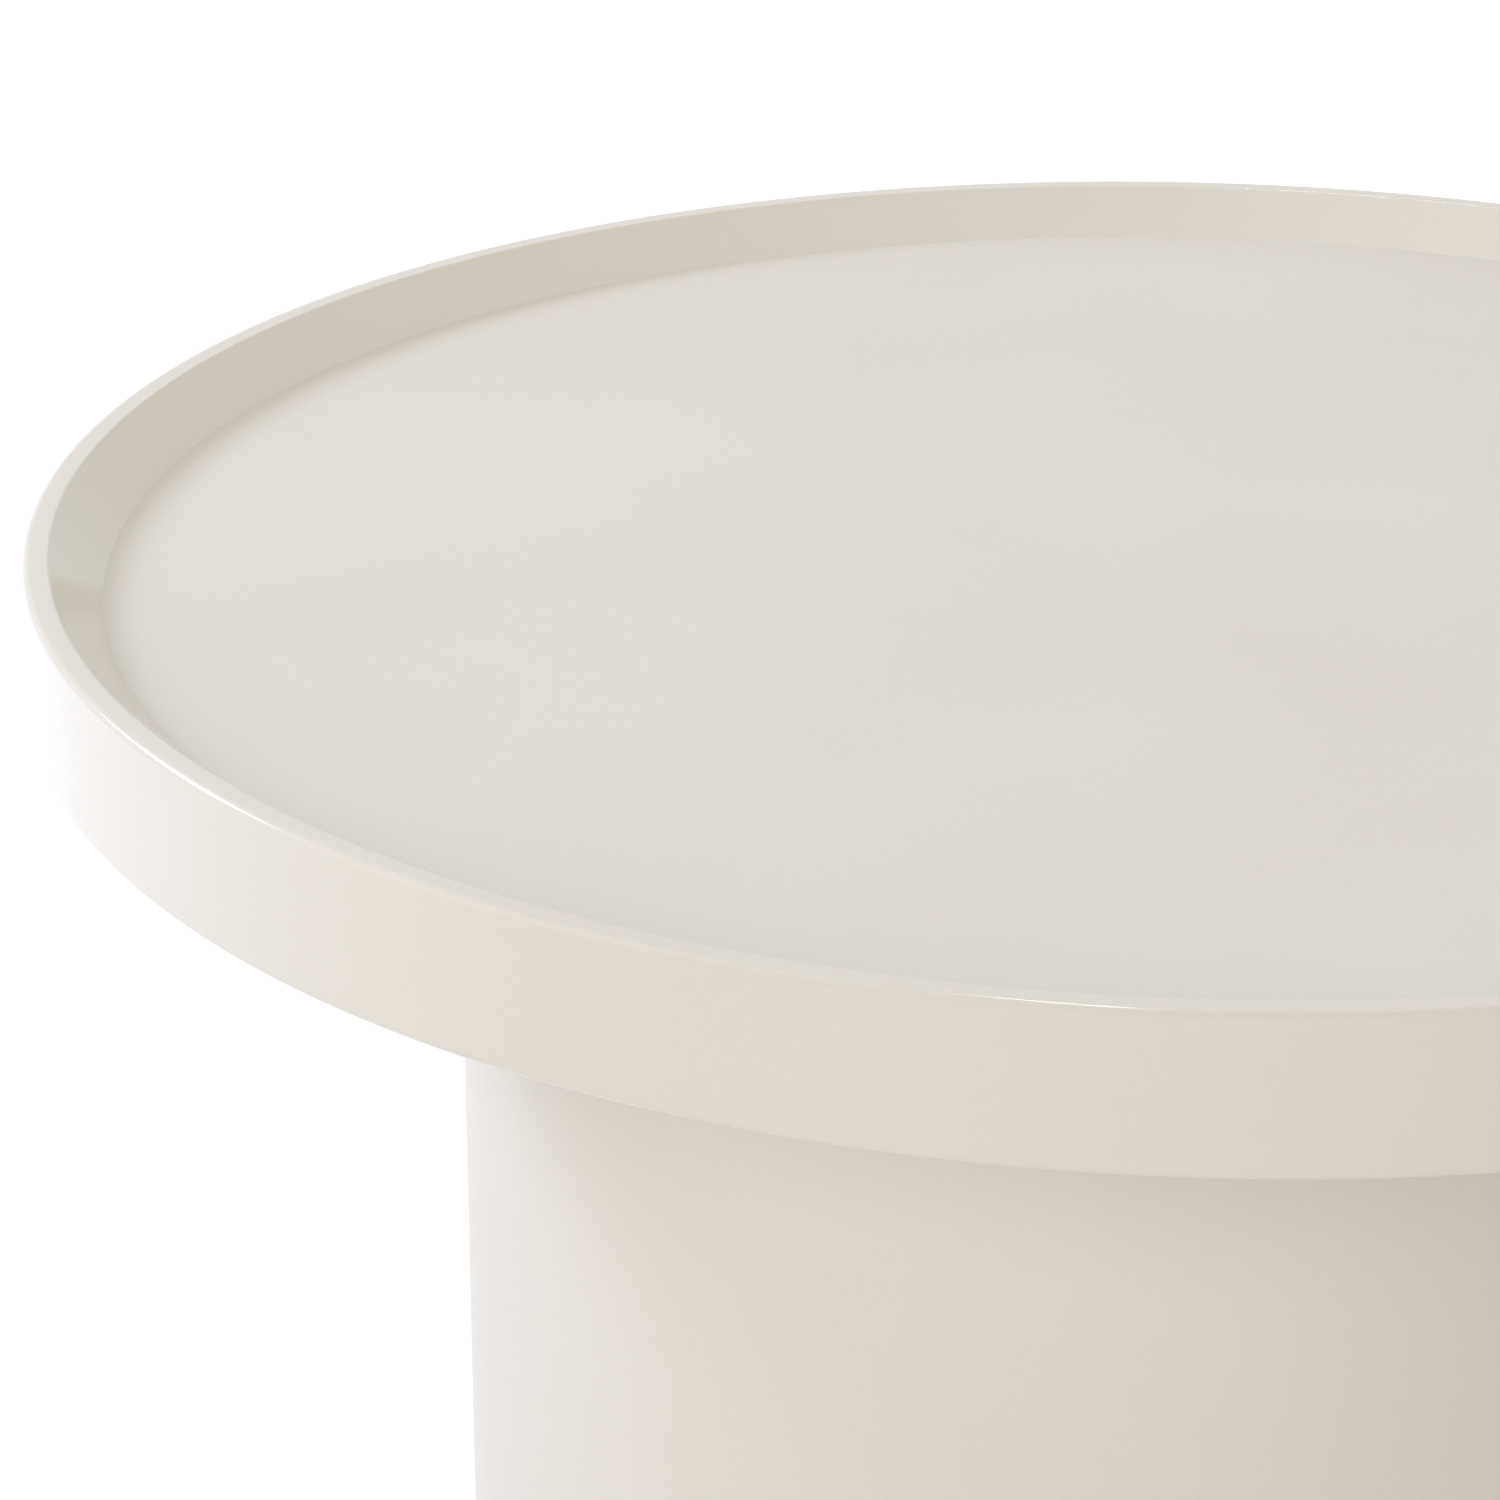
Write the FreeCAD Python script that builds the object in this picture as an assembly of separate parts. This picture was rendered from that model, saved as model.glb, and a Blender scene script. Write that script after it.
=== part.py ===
"""Round side table: a bevel-rimmed tray bolted on a hollow drum that stands on screw levelling feet.

Millimetres. The origin is on the floor under the middle of the table, and +Z is up.
The tray and the drum are lacquered, so their joints show only from below and inside.
"""
import FreeCAD, Part

import math
import os

# Overall sizes
TABLE_HEIGHT = 450.0  # floor to the lip of the tray
TRAY_DIAMETER = 500.0  # over the rim
DRUM_DIAMETER = 318.0  # over the shell

# Tray: a hoop with a sloping inner face, glued up from board segments and lapped round a flat panel
RIM_SEGMENTS = 12
LIP_WIDTH = 5.4  # flat band along the top of the rim
BEVEL_RUN = 11.0  # how far the inner face leans in on its way down
TRAY_DEPTH = 10.5  # lip to tray floor
PANEL_THICKNESS = 22.0
LAP_WIDTH = 9.0  # ledge of the rim that reaches in under the panel
LAP_HEIGHT = 11.0
LIP_OUTER_ROUND = 1.6
LIP_INNER_ROUND = 0.7
RIM_FOOT_ROUND = 1.6
PANEL_EDGE_EASE = 0.8  # eased edge that leaves a fine crease at the foot of the bevel

# Drum: a bent shell, housed over a disc at its top and a ring at its foot
DRUM_WALL = 12.0
HOUSING_DEPTH = 4.0  # how far the disc and the ring are let into the wall
TOP_DISC_THICKNESS = 18.0
FOOT_RING_THICKNESS = 18.0
SHELL_FOOT_ROUND = 1.6
ACCESS_BORE = 120.0  # hand hole in the foot ring and the ballast
GLUE_GAP = 0.1  # glue line round a curved joint

# Ballast: a steel ring screwed down on the foot ring
BALLAST_THICKNESS = 15.0
BALLAST_STEM_GAP = 9.0  # ballast rim to the levelling stems
BALLAST_EDGE_BREAK = 1.0
BALLAST_SCREWS = 4
BALLAST_SCREW_DIAMETER = 5.0
BALLAST_SCREW_HEAD_OVERHANG = 2.5  # head past the shank, all round
BALLAST_SCREW_BITE = 12.0  # depth into the foot ring
BALLAST_SCREW_KEY = 3.0  # hexagon socket, across flats
BALLAST_SCREW_KEY_DEPTH = 2.0

# Tray fixings: button-head bolts and washers inside the drum, threaded inserts in the panel
TRAY_BOLTS = 6
TRAY_BOLT_EDGE_DISTANCE = 46.0  # edge of the top disc to a bolt's axis
TRAY_BOLT_DIAMETER = 6.0
TRAY_BOLT_HEAD_OVERHANG = 2.25  # head past the shank, all round
TRAY_BOLT_HEAD_HEIGHT = 3.3
TRAY_BOLT_CROWN_ROUND = 2.6
TRAY_BOLT_KEY = 4.0  # hexagon socket, across flats
TRAY_BOLT_KEY_DEPTH = 1.8
TRAY_BOLT_ENGAGEMENT = 10.0  # depth into the insert
TRAY_BOLT_CLEARANCE = 0.5  # bolt to its hole in the disc
WASHER_BAND = 5.5  # hole to outer edge
WASHER_THICKNESS = 1.6
INSERT_WALL = 1.9  # thread to outside
INSERT_LENGTH = 13.0
BLIND_HOLE_RELIEF = 1.5  # space left past the end of an insert, dowel or screw
THREAD_CLEARANCE = 0.1  # bolt or stem to the bore that it screws into

# Dowels that centre the tray on the drum
DOWELS = 2
DOWEL_EDGE_DISTANCE = 26.0  # edge of the top disc to a dowel's axis
DOWEL_DIAMETER = 10.0
DOWEL_HALF = 13.0  # length in each of the two pieces
DOWEL_CHAMFER = 1.0

# Levelling feet: a headed, threaded stem that turns in a nylon pad and screws into a flanged nut
LEVELLERS = 4
STEM_DIAMETER = 8.0
STEM_RISE = 8.0  # stem standing above the foot ring
STEM_TIP_CHAMFER = 1.0
STEM_SLOT_WIDTH = 1.6  # screwdriver slot in the stem's upper end
STEM_SLOT_DEPTH = 2.0
COLLAR_STEP = 2.5  # flat of the hexagon collar past the stem
COLLAR_THICKNESS = 5.0
STEM_HEAD_OVERHANG = 2.5  # head past the stem, all round
STEM_HEAD_THICKNESS = 1.8
PAD_WALL = 6.3  # socket to the pad's outside
PAD_THICKNESS = 5.5
PAD_SOLE = 1.5  # nylon under the stem's head
PAD_SOLE_ROUND = 1.0
PAD_TOP_ROUND = 1.2
SOCKET_CLEARANCE = 0.2  # stem's head to its socket in the pad
RUNNING_GAP = 0.3  # faces that turn past each other
NUT_FLANGE_BAND = 5.6  # flange past the barrel, all round
NUT_FLANGE_THICKNESS = 1.6
NUT_BARREL_WALL = 1.3  # thread to outside
NUT_BARREL_LENGTH = 14.0
NUT_EDGE_MARGIN = 2.0  # flange to the edge of the foot ring

# Heights worked out from the floor up and from the lip down
DRUM_FOOT_Z = PAD_THICKNESS + COLLAR_THICKNESS + 2 * RUNNING_GAP
RING_TOP_Z = DRUM_FOOT_Z + FOOT_RING_THICKNESS
FLOOR_Z = TABLE_HEIGHT - TRAY_DEPTH
TRAY_FOOT_Z = FLOOR_Z - PANEL_THICKNESS
DISC_FOOT_Z = TRAY_FOOT_Z - TOP_DISC_THICKNESS

# Radii worked out from the outside in
RIM_RADIUS = TRAY_DIAMETER / 2
LIP_INNER_RADIUS = RIM_RADIUS - LIP_WIDTH
FLOOR_RADIUS = LIP_INNER_RADIUS - BEVEL_RUN
LEDGE_RADIUS = FLOOR_RADIUS - LAP_WIDTH
SHELL_RADIUS = DRUM_DIAMETER / 2
SHELL_BORE_RADIUS = SHELL_RADIUS - DRUM_WALL
SEAT_RADIUS = SHELL_BORE_RADIUS + HOUSING_DEPTH
DISC_RADIUS = SEAT_RADIUS - GLUE_GAP
TRAY_BOLT_RADIUS = DISC_RADIUS - TRAY_BOLT_EDGE_DISTANCE
DOWEL_RADIUS = DISC_RADIUS - DOWEL_EDGE_DISTANCE

# Fixings worked out from their threads
BOLT_HOLE_DIAMETER = TRAY_BOLT_DIAMETER + 2 * TRAY_BOLT_CLEARANCE
BOLT_THREAD_BORE = TRAY_BOLT_DIAMETER + 2 * THREAD_CLEARANCE
INSERT_DIAMETER = BOLT_THREAD_BORE + 2 * INSERT_WALL
STEM_THREAD_BORE = STEM_DIAMETER + 2 * THREAD_CLEARANCE
STEM_HEAD_DIAMETER = STEM_DIAMETER + 2 * STEM_HEAD_OVERHANG
NUT_BARREL_DIAMETER = STEM_THREAD_BORE + 2 * NUT_BARREL_WALL
NUT_FLANGE_DIAMETER = NUT_BARREL_DIAMETER + 2 * NUT_FLANGE_BAND
LEVELLER_RADIUS = DISC_RADIUS - NUT_EDGE_MARGIN - NUT_FLANGE_DIAMETER / 2
BALLAST_RADIUS = LEVELLER_RADIUS - STEM_DIAMETER / 2 - BALLAST_STEM_GAP
BALLAST_SCREW_RADIUS = (BALLAST_RADIUS + ACCESS_BORE / 2) / 2

AXIS = FreeCAD.Vector(0, 0, 1)
ORIGIN = FreeCAD.Vector(0, 0, 0)
FULL_TURN = 360.0


def rounded_wire(corners):
    """Closed wire in the XZ plane through (radius, height, rounding) corners, rounded by tangent arcs."""
    points = [FreeCAD.Vector(corner[0], 0, corner[1]) for corner in corners]
    runs = []
    for i, corner in enumerate(corners):
        here = points[i]
        to_last = (points[i - 1] - here).normalize()
        to_next = (points[(i + 1) % len(points)] - here).normalize()
        rounding = corner[2] if len(corner) > 2 else 0.0
        if not rounding:
            runs.append((here, None, here))
            continue
        half_angle = to_last.getAngle(to_next) / 2
        reach = rounding / math.tan(half_angle)
        bisector = (to_last + to_next).normalize()
        middle = here + bisector * (rounding / math.sin(half_angle) - rounding)
        runs.append((here + to_last * reach, middle, here + to_next * reach))
    edges = []
    for i, (start, middle, end) in enumerate(runs):
        last_end = runs[i - 1][2]
        edges.append(Part.LineSegment(last_end, start).toShape())
        if middle is not None:
            edges.append(Part.Arc(start, middle, end).toShape())
    return Part.Wire(edges)


def turned(corners, angle=FULL_TURN):
    """Solid turned about the table's axis from a profile of (radius, height, rounding) corners."""
    return Part.Face(rounded_wire(corners)).revolve(ORIGIN, AXIS, angle)


def rod(diameter, foot_z, length):
    """Upright cylinder on the axis."""
    return Part.makeCylinder(diameter / 2, length, FreeCAD.Vector(0, 0, foot_z), AXIS)


def hexagon(across_flats, foot_z, length):
    """Upright hexagonal prism on the axis."""
    corner_radius = across_flats / math.sqrt(3)
    corners = []
    for i in range(7):
        angle = math.radians(60 * i)
        x = corner_radius * math.cos(angle)
        y = corner_radius * math.sin(angle)
        corners.append(FreeCAD.Vector(x, y, foot_z))
    return Part.Face(Part.makePolygon(corners)).extrude(AXIS * length)


def around(shape, count, radius, first_angle):
    """Copies of a shape made on the axis, spaced evenly round a circle."""
    copies = []
    for i in range(count):
        angle = first_angle + FULL_TURN * i / count
        copy = shape.copy()
        copy.translate(FreeCAD.Vector(radius, 0, 0))
        copy.rotate(ORIGIN, AXIS, angle)
        copies.append(copy)
    return copies


def half_step(count):
    """Half the angle between neighbours round a circle, to set one ring of fixings between another's."""
    return FULL_TURN / count / 2


def tray_rim():
    """Hoop of the tray: upright outside, flat lip, sloping inside, with a ledge under the panel."""
    segment = turned([
        (LEDGE_RADIUS, TRAY_FOOT_Z),
        (RIM_RADIUS, TRAY_FOOT_Z, RIM_FOOT_ROUND),
        (RIM_RADIUS, TABLE_HEIGHT, min(LIP_OUTER_ROUND, LIP_WIDTH / 3)),
        (LIP_INNER_RADIUS, TABLE_HEIGHT, min(LIP_INNER_ROUND, LIP_WIDTH / 3)),
        (FLOOR_RADIUS, FLOOR_Z),
        (FLOOR_RADIUS, TRAY_FOOT_Z + LAP_HEIGHT),
        (LEDGE_RADIUS, TRAY_FOOT_Z + LAP_HEIGHT),
    ], FULL_TURN / RIM_SEGMENTS)
    return Part.Compound(around(segment, RIM_SEGMENTS, 0, 0))


def tray_panel():
    """Floor of the tray: a disc rebated to sit on the rim's ledge, bored below for inserts and dowels."""
    panel = turned([
        (0, TRAY_FOOT_Z),
        (LEDGE_RADIUS - GLUE_GAP, TRAY_FOOT_Z),
        (LEDGE_RADIUS - GLUE_GAP, TRAY_FOOT_Z + LAP_HEIGHT),
        (FLOOR_RADIUS - GLUE_GAP, TRAY_FOOT_Z + LAP_HEIGHT),
        (FLOOR_RADIUS - GLUE_GAP, FLOOR_Z, PANEL_EDGE_EASE),
        (0, FLOOR_Z),
    ])
    insert_hole = rod(INSERT_DIAMETER + 2 * GLUE_GAP, TRAY_FOOT_Z, INSERT_LENGTH + BLIND_HOLE_RELIEF)
    dowel_hole = rod(DOWEL_DIAMETER + 2 * GLUE_GAP, TRAY_FOOT_Z, DOWEL_HALF + BLIND_HOLE_RELIEF)
    holes = around(insert_hole, TRAY_BOLTS, TRAY_BOLT_RADIUS, half_step(TRAY_BOLTS))
    holes += around(dowel_hole, DOWELS, DOWEL_RADIUS, 0)
    return panel.cut(holes)


def tray_inserts():
    """Threaded inserts flush with the underside of the panel."""
    insert = rod(INSERT_DIAMETER, TRAY_FOOT_Z, INSERT_LENGTH)
    insert = insert.cut(rod(BOLT_THREAD_BORE, TRAY_FOOT_Z, INSERT_LENGTH))
    return Part.Compound(around(insert, TRAY_BOLTS, TRAY_BOLT_RADIUS, half_step(TRAY_BOLTS)))


def tray_bolts():
    """Button-head bolts, put in from inside the drum, head down."""
    seat_z = DISC_FOOT_Z - WASHER_THICKNESS
    crown_z = seat_z - TRAY_BOLT_HEAD_HEIGHT
    length = WASHER_THICKNESS + TOP_DISC_THICKNESS + TRAY_BOLT_ENGAGEMENT
    head_radius = TRAY_BOLT_DIAMETER / 2 + TRAY_BOLT_HEAD_OVERHANG
    head = turned([
        (0, crown_z),
        (head_radius, crown_z, min(TRAY_BOLT_CROWN_ROUND, TRAY_BOLT_HEAD_HEIGHT)),
        (head_radius, seat_z),
        (0, seat_z),
    ])
    bolt = head.fuse(rod(TRAY_BOLT_DIAMETER, seat_z, length))
    bolt = bolt.cut(hexagon(TRAY_BOLT_KEY, crown_z, TRAY_BOLT_KEY_DEPTH))
    return Part.Compound(around(bolt, TRAY_BOLTS, TRAY_BOLT_RADIUS, half_step(TRAY_BOLTS)))


def tray_washers():
    """Plain washers under the bolt heads."""
    foot_z = DISC_FOOT_Z - WASHER_THICKNESS
    washer = rod(BOLT_HOLE_DIAMETER + 2 * WASHER_BAND, foot_z, WASHER_THICKNESS)
    hole = rod(BOLT_HOLE_DIAMETER, foot_z, WASHER_THICKNESS)
    return Part.Compound(around(washer.cut(hole), TRAY_BOLTS, TRAY_BOLT_RADIUS, half_step(TRAY_BOLTS)))


def locating_dowels():
    """Dowels half in the drum's top disc and half in the panel."""
    radius = DOWEL_DIAMETER / 2
    foot_z = TRAY_FOOT_Z - DOWEL_HALF
    top_z = TRAY_FOOT_Z + DOWEL_HALF
    dowel = turned([
        (0, foot_z),
        (radius - DOWEL_CHAMFER, foot_z),
        (radius, foot_z + DOWEL_CHAMFER),
        (radius, top_z - DOWEL_CHAMFER),
        (radius - DOWEL_CHAMFER, top_z),
        (0, top_z),
    ])
    return Part.Compound(around(dowel, DOWELS, DOWEL_RADIUS, 0))


def drum_shell():
    """Bent shell of the drum, housed inside at both ends for the disc and the ring."""
    return turned([
        (SEAT_RADIUS, DRUM_FOOT_Z),
        (SHELL_RADIUS, DRUM_FOOT_Z, SHELL_FOOT_ROUND),
        (SHELL_RADIUS, TRAY_FOOT_Z),
        (SEAT_RADIUS, TRAY_FOOT_Z),
        (SEAT_RADIUS, DISC_FOOT_Z),
        (SHELL_BORE_RADIUS, DISC_FOOT_Z),
        (SHELL_BORE_RADIUS, RING_TOP_Z),
        (SEAT_RADIUS, RING_TOP_Z),
    ])


def drum_top_disc():
    """Disc that closes the drum's top and carries the tray."""
    disc = rod(2 * DISC_RADIUS, DISC_FOOT_Z, TOP_DISC_THICKNESS)
    bolt_hole = rod(BOLT_HOLE_DIAMETER, DISC_FOOT_Z, TOP_DISC_THICKNESS)
    dowel_depth = DOWEL_HALF + BLIND_HOLE_RELIEF
    dowel_hole = rod(DOWEL_DIAMETER + 2 * GLUE_GAP, TRAY_FOOT_Z - dowel_depth, dowel_depth)
    holes = around(bolt_hole, TRAY_BOLTS, TRAY_BOLT_RADIUS, half_step(TRAY_BOLTS))
    holes += around(dowel_hole, DOWELS, DOWEL_RADIUS, 0)
    return disc.cut(holes)


def drum_foot_ring():
    """Ring in the drum's foot: carries the ballast above and the levelling feet below."""
    ring = rod(2 * DISC_RADIUS, DRUM_FOOT_Z, FOOT_RING_THICKNESS)
    barrel_hole = rod(NUT_BARREL_DIAMETER + 2 * GLUE_GAP, DRUM_FOOT_Z, FOOT_RING_THICKNESS)
    flange_recess = rod(NUT_FLANGE_DIAMETER + 2 * GLUE_GAP, DRUM_FOOT_Z, NUT_FLANGE_THICKNESS)
    pilot_depth = BALLAST_SCREW_BITE + BLIND_HOLE_RELIEF
    pilot_hole = rod(BALLAST_SCREW_DIAMETER + 2 * THREAD_CLEARANCE, RING_TOP_Z - pilot_depth, pilot_depth)
    cuts = [rod(ACCESS_BORE, DRUM_FOOT_Z, FOOT_RING_THICKNESS)]
    cuts += around(barrel_hole.fuse(flange_recess), LEVELLERS, LEVELLER_RADIUS, half_step(LEVELLERS))
    cuts += around(pilot_hole, BALLAST_SCREWS, BALLAST_SCREW_RADIUS, 0)
    return ring.cut(cuts)


def ballast_screw(clearance):
    """One countersunk screw on the axis, or the hole for it, wider all round by the clearance."""
    shank_radius = BALLAST_SCREW_DIAMETER / 2 + clearance
    head_radius = shank_radius + BALLAST_SCREW_HEAD_OVERHANG
    top_z = RING_TOP_Z + BALLAST_THICKNESS
    return turned([
        (0, RING_TOP_Z - BALLAST_SCREW_BITE),
        (shank_radius, RING_TOP_Z - BALLAST_SCREW_BITE),
        (shank_radius, top_z - BALLAST_SCREW_HEAD_OVERHANG),
        (head_radius, top_z),
        (0, top_z),
    ])


def ballast_ring():
    """Steel ring that keeps the table from tipping when its edge is loaded."""
    top_z = RING_TOP_Z + BALLAST_THICKNESS
    bore_radius = ACCESS_BORE / 2
    ring = turned([
        (bore_radius, RING_TOP_Z),
        (BALLAST_RADIUS, RING_TOP_Z),
        (BALLAST_RADIUS, top_z - BALLAST_EDGE_BREAK),
        (BALLAST_RADIUS - BALLAST_EDGE_BREAK, top_z),
        (bore_radius + BALLAST_EDGE_BREAK, top_z),
        (bore_radius, top_z - BALLAST_EDGE_BREAK),
    ])
    return ring.cut(around(ballast_screw(THREAD_CLEARANCE), BALLAST_SCREWS, BALLAST_SCREW_RADIUS, 0))


def ballast_screws():
    """Countersunk screws that hold the ballast down."""
    top_z = RING_TOP_Z + BALLAST_THICKNESS
    key_socket = hexagon(BALLAST_SCREW_KEY, top_z - BALLAST_SCREW_KEY_DEPTH, BALLAST_SCREW_KEY_DEPTH)
    screw = ballast_screw(0).cut(key_socket)
    return Part.Compound(around(screw, BALLAST_SCREWS, BALLAST_SCREW_RADIUS, 0))


def leveller_nuts():
    """Flanged nuts let into the underside of the foot ring."""
    nut = rod(NUT_FLANGE_DIAMETER, DRUM_FOOT_Z, NUT_FLANGE_THICKNESS)
    nut = nut.fuse(rod(NUT_BARREL_DIAMETER, DRUM_FOOT_Z, NUT_BARREL_LENGTH))
    nut = nut.cut(rod(STEM_THREAD_BORE, DRUM_FOOT_Z, NUT_BARREL_LENGTH))
    return Part.Compound(around(nut, LEVELLERS, LEVELLER_RADIUS, half_step(LEVELLERS)))


def leveller_pad():
    """Nylon pad on the axis, moulded over the stem's head, with an open neck above it."""
    socket_radius = STEM_HEAD_DIAMETER / 2 + SOCKET_CLEARANCE
    radius = socket_radius + PAD_WALL
    neck_radius = STEM_DIAMETER / 2 + SOCKET_CLEARANCE
    socket_top_z = PAD_SOLE + STEM_HEAD_THICKNESS + 2 * SOCKET_CLEARANCE
    return turned([
        (0, 0),
        (radius, 0, PAD_SOLE_ROUND),
        (radius, PAD_THICKNESS, PAD_TOP_ROUND),
        (neck_radius, PAD_THICKNESS),
        (neck_radius, socket_top_z),
        (socket_radius, socket_top_z),
        (socket_radius, PAD_SOLE),
        (0, PAD_SOLE),
    ])


def leveller_stem():
    """Threaded stem on the axis: round head in the pad, hexagon collar for a spanner, slotted tip."""
    head_z = PAD_SOLE + SOCKET_CLEARANCE
    collar_z = PAD_THICKNESS + RUNNING_GAP
    tip_z = RING_TOP_Z + STEM_RISE
    radius = STEM_DIAMETER / 2
    spindle = turned([
        (0, head_z),
        (STEM_HEAD_DIAMETER / 2, head_z),
        (STEM_HEAD_DIAMETER / 2, head_z + STEM_HEAD_THICKNESS),
        (radius, head_z + STEM_HEAD_THICKNESS),
        (radius, tip_z - STEM_TIP_CHAMFER),
        (radius - STEM_TIP_CHAMFER, tip_z),
        (0, tip_z),
    ])
    slot_corner = FreeCAD.Vector(-radius, -STEM_SLOT_WIDTH / 2, tip_z - STEM_SLOT_DEPTH)
    slot = Part.makeBox(STEM_DIAMETER, STEM_SLOT_WIDTH, STEM_SLOT_DEPTH, slot_corner)
    collar = hexagon(STEM_DIAMETER + 2 * COLLAR_STEP, collar_z, COLLAR_THICKNESS)
    return spindle.fuse(collar).cut(slot)


def all_pieces():
    """Every piece of the table by its node's name."""
    pieces = {
        "tray_rim": tray_rim(),
        "tray_panel": tray_panel(),
        "tray_inserts": tray_inserts(),
        "tray_bolts": tray_bolts(),
        "tray_washers": tray_washers(),
        "locating_dowels": locating_dowels(),
        "drum_shell": drum_shell(),
        "drum_top_disc": drum_top_disc(),
        "drum_foot_ring": drum_foot_ring(),
        "ballast_ring": ballast_ring(),
        "ballast_screws": ballast_screws(),
        "leveller_nuts": leveller_nuts(),
    }
    pads = around(leveller_pad(), LEVELLERS, LEVELLER_RADIUS, half_step(LEVELLERS))
    stems = around(leveller_stem(), LEVELLERS, LEVELLER_RADIUS, half_step(LEVELLERS))
    for i in range(LEVELLERS):
        pieces[f"leveller_pad_{i + 1}"] = pads[i]
        pieces[f"leveller_stem_{i + 1}"] = stems[i]
    return pieces


os.makedirs("parts", exist_ok=True)
for name, shape in all_pieces().items():
    shape.exportStep(f"parts/{name}.step")
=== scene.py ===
import bmesh
import bpy
import numpy as np
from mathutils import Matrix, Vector


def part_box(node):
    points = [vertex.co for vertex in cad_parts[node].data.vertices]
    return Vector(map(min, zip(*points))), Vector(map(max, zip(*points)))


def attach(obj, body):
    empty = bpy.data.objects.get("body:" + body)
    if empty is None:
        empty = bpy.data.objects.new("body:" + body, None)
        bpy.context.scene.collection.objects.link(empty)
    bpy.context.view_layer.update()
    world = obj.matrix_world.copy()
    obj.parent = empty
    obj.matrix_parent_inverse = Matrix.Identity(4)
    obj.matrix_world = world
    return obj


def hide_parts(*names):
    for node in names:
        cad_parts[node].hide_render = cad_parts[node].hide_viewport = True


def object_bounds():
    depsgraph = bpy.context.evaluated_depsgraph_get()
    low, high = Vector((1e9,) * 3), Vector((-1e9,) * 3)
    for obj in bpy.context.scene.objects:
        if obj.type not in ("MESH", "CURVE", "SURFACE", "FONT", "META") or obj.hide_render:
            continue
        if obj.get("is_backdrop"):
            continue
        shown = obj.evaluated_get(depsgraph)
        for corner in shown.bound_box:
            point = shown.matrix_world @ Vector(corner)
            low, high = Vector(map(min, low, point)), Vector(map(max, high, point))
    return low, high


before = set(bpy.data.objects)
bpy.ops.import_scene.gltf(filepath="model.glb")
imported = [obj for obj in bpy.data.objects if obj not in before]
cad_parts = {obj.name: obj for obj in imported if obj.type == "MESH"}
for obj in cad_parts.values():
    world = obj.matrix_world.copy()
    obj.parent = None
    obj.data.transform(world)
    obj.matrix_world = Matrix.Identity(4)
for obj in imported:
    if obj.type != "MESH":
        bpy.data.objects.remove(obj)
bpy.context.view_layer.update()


# Tray rim
# The real rim is a hoop of board segments, glued end to end and turned to one section: upright outside,
# a narrow flat lip, and an inner face that slopes down to the tray floor. A ledge laps under the panel.
# Filler and film close the joint between them, so from above only a crease shows.
MM = 0.001
# Points that lie closer together than this are one point.
TOLERANCE = 0.001 * MM


def linear(code):
    """Linear colour with full alpha from an sRGB hex value, by the curve of the sRGB standard."""
    srgb = np.array([int(code[i:i + 2], 16) for i in (1, 3, 5)]) / 255
    light = np.where(srgb <= 0.04045, srgb / 12.92, ((srgb + 0.055) / 1.055) ** 2.4)
    return (*light.tolist(), 1.0)


def add_node(owner, kind, sockets, **settings):
    """Adds one node to a material or a world.

    Settings are the node's own properties. A socket takes a constant, or an output to link from.
    """
    node = owner.node_tree.nodes.new(kind)
    for name, value in settings.items():
        setattr(node, name, value)
    for name, value in sockets.items():
        if isinstance(value, bpy.types.NodeSocket):
            owner.node_tree.links.new(value, node.inputs[name])
        else:
            node.inputs[name].default_value = value
    return node


def new_material(name):
    """Node material with nothing in it yet, for the caller to fill."""
    material = bpy.data.materials.new(name)
    material.use_nodes = True
    material.node_tree.nodes.clear()
    return material


# Two points on each straight run of a profile stand this far from its ends, or on a short run by this share.
RUN_MARGIN = 0.5
RUN_SHARE = 0.2


def rounded_profile(corners, closed=True, arc_points=9):
    """Profile of (radius, height) points in metres, from (radius, height, rounding) corners in millimetres.

    Each corner is cut back along both its sides by rounding / tan(half its angle). An arc that touches
    both sides joins the cuts: its points are centre + (sin((1 - s) a) first + sin(s a) last) / sin(a),
    where s goes from 0 to 1, a is the arc's angle, and first and last lead from its centre to the cuts.
    Two more points stand on each straight run, close to its arcs, so that smooth shading stays flat
    between them. A profile that isn't closed starts and ends on the axis, and leaves out the run between.
    """
    corners = np.array(corners, float)
    here, rounding = corners[:, :2], corners[:, 2:]
    back = np.roll(here, 1, 0) - here
    ahead = np.roll(here, -1, 0) - here
    back /= np.linalg.norm(back, axis=1, keepdims=True)
    ahead /= np.linalg.norm(ahead, axis=1, keepdims=True)
    half = np.arccos(np.clip((back * ahead).sum(1, keepdims=True), -1, 1)) / 2
    bisector = back + ahead
    bisector /= np.linalg.norm(bisector, axis=1, keepdims=True)
    start = here + back * rounding / np.tan(half)
    end = here + ahead * rounding / np.tan(half)
    centre = here + bisector * rounding / np.sin(half)
    angle = (np.pi - 2 * half)[:, :, None]
    share = np.linspace(0, 1, arc_points)[None, :, None]
    first = np.sin((1 - share) * angle) * (start - centre)[:, None]
    last = np.sin(share * angle) * (end - centre)[:, None]
    arcs = centre[:, None] + (first + last) / np.sin(angle)
    next_start = np.roll(start, -1, 0)
    run = next_start - end
    length = np.linalg.norm(run, axis=1, keepdims=True)
    margin = np.minimum(RUN_MARGIN, RUN_SHARE * length) * run / length
    beside = np.stack([end + margin, next_start - margin], 1)
    profile = np.concatenate([arcs, beside], 1).reshape(-1, 2) * MM
    return profile if closed else profile[:-2]


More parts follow.
